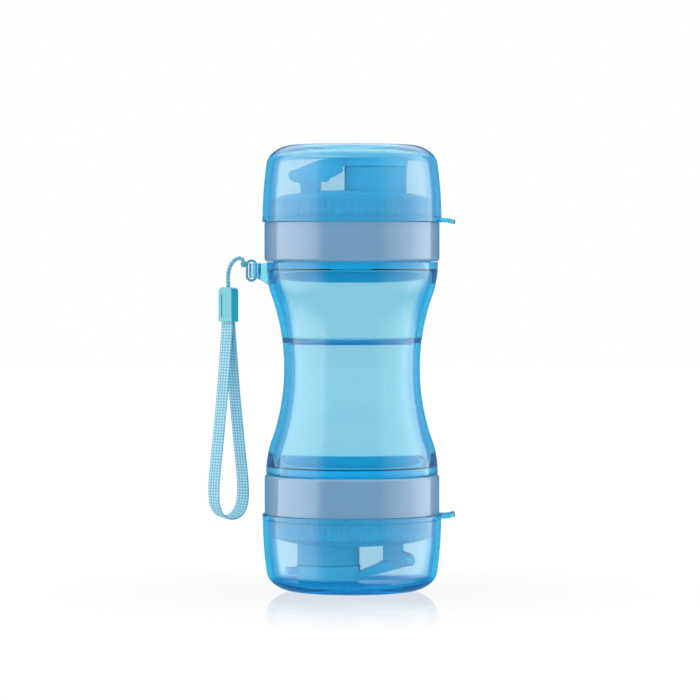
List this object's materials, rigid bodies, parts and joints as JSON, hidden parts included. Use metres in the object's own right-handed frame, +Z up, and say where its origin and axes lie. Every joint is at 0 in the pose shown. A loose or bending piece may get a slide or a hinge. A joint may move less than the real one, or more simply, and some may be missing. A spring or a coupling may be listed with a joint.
{
  "type": "dog travel bottle",
  "caption": "Travel bottle for a dog: an hourglass body with a chamber at each end, screw lids with flip spouts, clear bowls pressed over the lids, and a wrist strap.",
  "frame": {"origin": "centre of the lower bowl's foot, on the surface that the bottle stands on", "axes": "+Z up along the bottle's axis, +X towards the bowls' pull tabs and away from the strap, +Y away from the viewer of the picture"},
  "size_m": [0.1234, 0.0898, 0.223],
  "materials": {
    "clear_body": "clear, glossy, tinted blue",
    "clear_bowl": "clear, glossy, tinted blue",
    "lid": "satin",
    "flip_cap": "satin",
    "silicone": "soft matt",
    "pin": "satin",
    "strap_cord": "braided",
    "slider": "slightly translucent turquoise",
    "ribbon": "woven"
  },
  "bodies": {
    "bottle": {"upper_chamber": "clear_body", "lower_chamber": "clear_body", "strap_hitch": "strap_cord"},
    "top_gasket": {"top_lid_gasket": "silicone"},
    "top_lid": {"top_screw_lid": "lid", "top_flip_pin": "pin"},
    "top_flip": {"top_flip_cap": "flip_cap", "top_flip_plug": "silicone"},
    "top_bowl": {"top_bowl": "clear_bowl"},
    "bottom_gasket": {"bottom_lid_gasket": "silicone"},
    "bottom_lid": {"bottom_screw_lid": "lid", "bottom_flip_pin": "pin"},
    "bottom_flip": {"bottom_flip_cap": "flip_cap", "bottom_flip_plug": "silicone"},
    "bottom_bowl": {"bottom_bowl": "clear_bowl"},
    "strap": {"strap_cord": "strap_cord", "strap_slider_front": "slider", "strap_slider_back": "slider", "strap_ribbon": "ribbon"}
  },
  "joints": [
    {"name": "top_lid_lift", "type": "slide", "parent": "bottle", "child": "top_gasket", "axis": [0, 0, 1], "range_m": [0, 0.0176]},
    {"name": "top_lid_turn", "type": "hinge", "parent": "top_gasket", "child": "top_lid", "pos_m": [0, 0, 0.1745], "axis": [0, 0, 1], "range_deg": [0, 1260]},
    {"name": "top_bowl_pull", "type": "slide", "parent": "top_lid", "child": "top_bowl", "axis": [0, 0, 1], "range_m": [0, 0.16]},
    {"name": "top_flip_open", "type": "hinge", "parent": "top_lid", "child": "top_flip", "pos_m": [-0.0286, 0, 0.2075], "axis": [0, -1, 0], "range_deg": [0, 121]},
    {"name": "bottom_lid_lift", "type": "slide", "parent": "bottle", "child": "bottom_gasket", "axis": [0, 0, -1], "range_m": [0, 0.0176]},
    {"name": "bottom_lid_turn", "type": "hinge", "parent": "bottom_gasket", "child": "bottom_lid", "pos_m": [0, 0, 0.0485], "axis": [0, 0, -1], "range_deg": [0, 1260]},
    {"name": "bottom_bowl_pull", "type": "slide", "parent": "bottom_lid", "child": "bottom_bowl", "axis": [0, 0, -1], "range_m": [0, 0.16]},
    {"name": "bottom_flip_open", "type": "hinge", "parent": "bottom_lid", "child": "bottom_flip", "pos_m": [0.0286, 0, 0.0155], "axis": [0, -1, 0], "range_deg": [0, 121]},
    {"name": "strap_swing", "type": "hinge", "parent": "bottle", "child": "strap", "pos_m": [-0.0542, 0, 0.16345], "axis": [0, 1, 0], "range_deg": [0, 50]}
  ],
  "couplings": [
    {"joint": "top_lid_lift", "follows": "top_lid_turn", "m_per_rad": 0.00079577},
    {"joint": "top_flip_open", "follows": "top_bowl_pull", "rad_per_m": 13.09},
    {"joint": "bottom_lid_lift", "follows": "bottom_lid_turn", "m_per_rad": 0.00079577},
    {"joint": "bottom_flip_open", "follows": "bottom_bowl_pull", "rad_per_m": 13.09}
  ]
}
